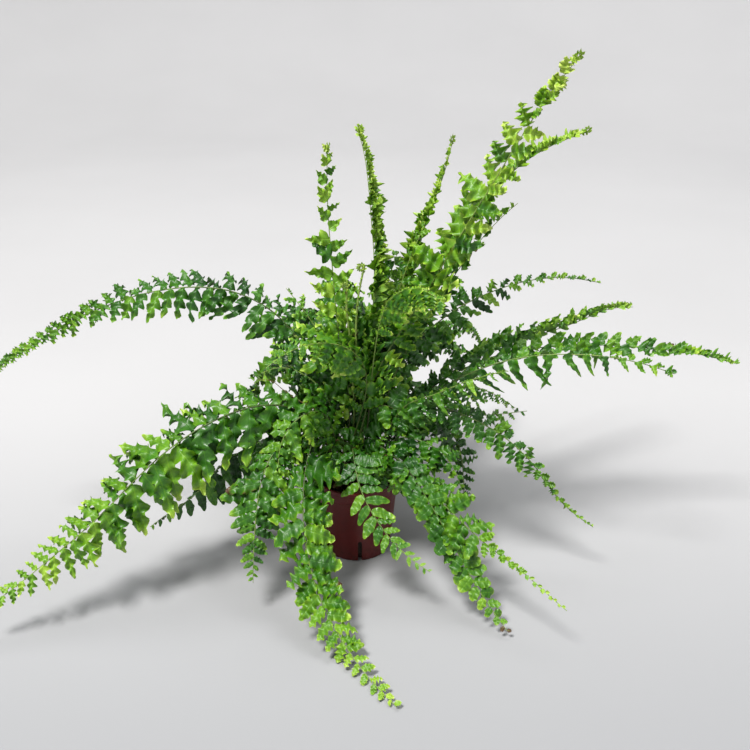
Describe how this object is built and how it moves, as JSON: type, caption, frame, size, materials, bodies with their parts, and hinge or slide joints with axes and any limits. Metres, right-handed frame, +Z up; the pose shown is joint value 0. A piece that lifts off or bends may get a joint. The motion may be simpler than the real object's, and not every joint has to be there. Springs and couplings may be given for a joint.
{
  "type": "potted fern",
  "caption": "Young sword fern with arching, toothed fronds growing from a scaly crown in a small round plastic nursery pot.",
  "frame": {"origin": "centre of the pot's flat underside", "axes": "+Z up along the pot's axis, -Y to the front, +X to the right"},
  "size_m": [0.5112, 0.3486, 0.3332],
  "materials": {
    "pot_plastic": "satin moulded plastic, dark terracotta brown",
    "soil": "matt, damp peat with bark and perlite",
    "crown_scales": "matt, brown papery scales",
    "leaf_mature": "semi-gloss leaf, mid to dark green with lighter edges",
    "leaf_young": "semi-gloss leaf, yellow-green",
    "leaf_dry": "matt, dry brown stalk"
  },
  "bodies": {
    "root": {"pot": "pot_plastic", "potting_soil": "soil", "crown": "crown_scales", "frond_left_high": "leaf_mature", "frond_left_low": "leaf_mature", "frond_left_low_small": "leaf_mature", "frond_front_left_outer": "leaf_mature", "frond_front_left_inner": "leaf_mature", "frond_front_long": "leaf_mature", "frond_front_center": "leaf_mature", "frond_right_front": "leaf_mature", "frond_right_front_low": "leaf_mature", "frond_right_drooping": "leaf_mature", "frond_right_long": "leaf_mature", "frond_right_long_lower": "leaf_mature", "frond_right_rising": "leaf_mature", "frond_right_upper": "leaf_mature", "frond_tall_right": "leaf_young", "frond_tall_right_back": "leaf_young", "frond_right_thin": "leaf_mature", "frond_upright_right": "leaf_young", "frond_upright_center": "leaf_young", "frond_upright_left": "leaf_young", "fiddlehead_center": "leaf_young", "fiddlehead_left": "leaf_young", "frond_center_arching": "leaf_mature", "frond_young_right": "leaf_young", "frond_back_right_arching": "leaf_mature", "dry_stem_left": "leaf_dry", "frond_right_back_hanging": "leaf_mature", "frond_front_right_inner": "leaf_mature", "frond_left_mid": "leaf_mature", "frond_right_center": "leaf_mature", "frond_right_center_low": "leaf_mature", "frond_right_center_back": "leaf_mature", "frond_inner_upright_right": "leaf_young", "frond_inner_upright_back": "leaf_young", "frond_inner_left": "leaf_mature", "frond_left_low_back": "leaf_mature", "frond_front_low_center": "leaf_mature", "frond_front_low_left": "leaf_mature", "frond_right_low": "leaf_mature", "frond_back_01": "leaf_mature", "frond_back_02": "leaf_mature", "frond_back_03": "leaf_mature", "frond_back_04": "leaf_mature", "frond_back_05": "leaf_mature", "frond_back_06": "leaf_mature", "frond_back_07": "leaf_mature", "frond_back_08": "leaf_mature", "frond_back_09": "leaf_mature", "frond_back_10": "leaf_mature", "frond_back_11": "leaf_mature"}
  },
  "joints": []
}
